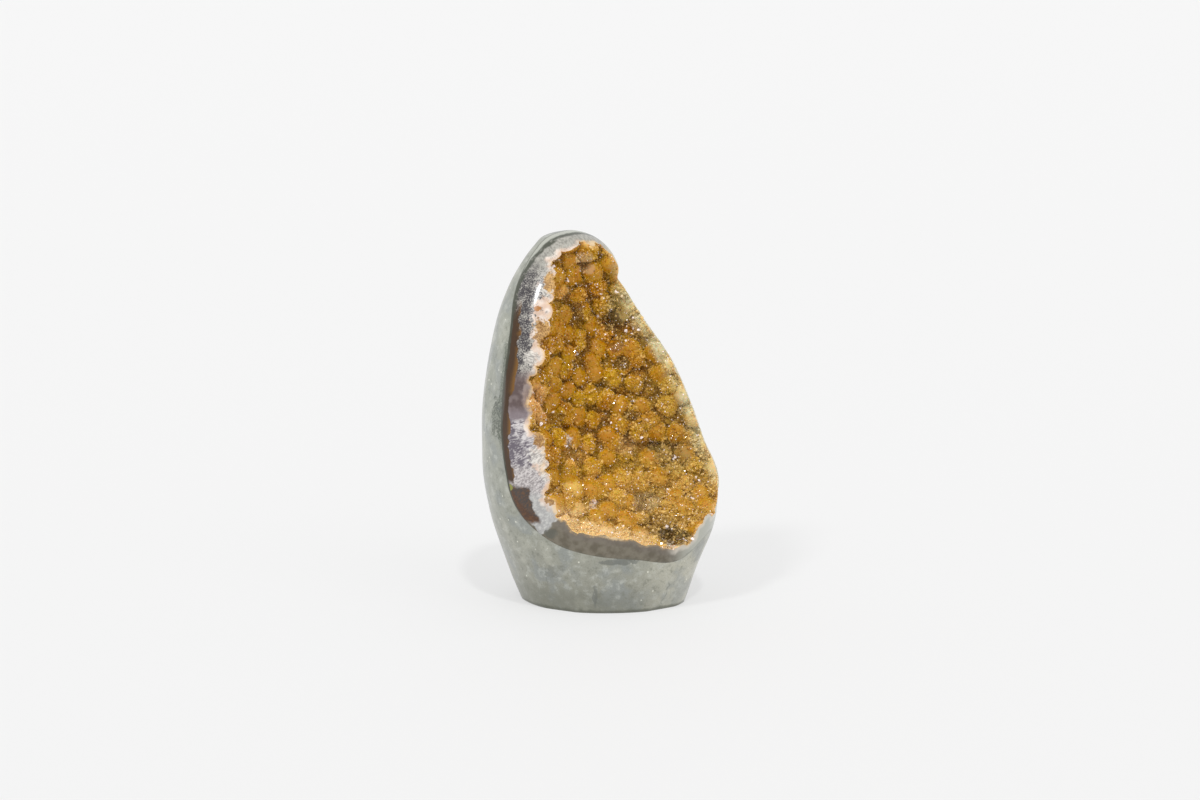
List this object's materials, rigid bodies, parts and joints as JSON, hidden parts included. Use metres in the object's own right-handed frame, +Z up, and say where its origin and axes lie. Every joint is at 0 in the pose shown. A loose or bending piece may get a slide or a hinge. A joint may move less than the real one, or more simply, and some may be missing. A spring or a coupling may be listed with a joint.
{
  "type": "standing cut-base geode with golden amethyst-family crystals",
  "caption": "Free-standing geode: ground grey-green basalt, banded agate lining and a hollow crusted with golden quartz lumps.",
  "frame": {"origin": "middle of the bounding box, at the flat foot that the stone stands on", "axes": "+Z up; X along the stone's widest side; the crystal hollow looks towards -Y, turned 30 degrees to +X and leaning back 14 degrees"},
  "size_m": [0.0748, 0.0558, 0.117],
  "materials": {
    "basalt": "polished",
    "agate": "polished",
    "golden_quartz": "glittering crystal points"
  },
  "bodies": {
    "root": {"basalt": "basalt", "agate_lining": "agate", "crystal_crust": "golden_quartz"}
  },
  "joints": []
}
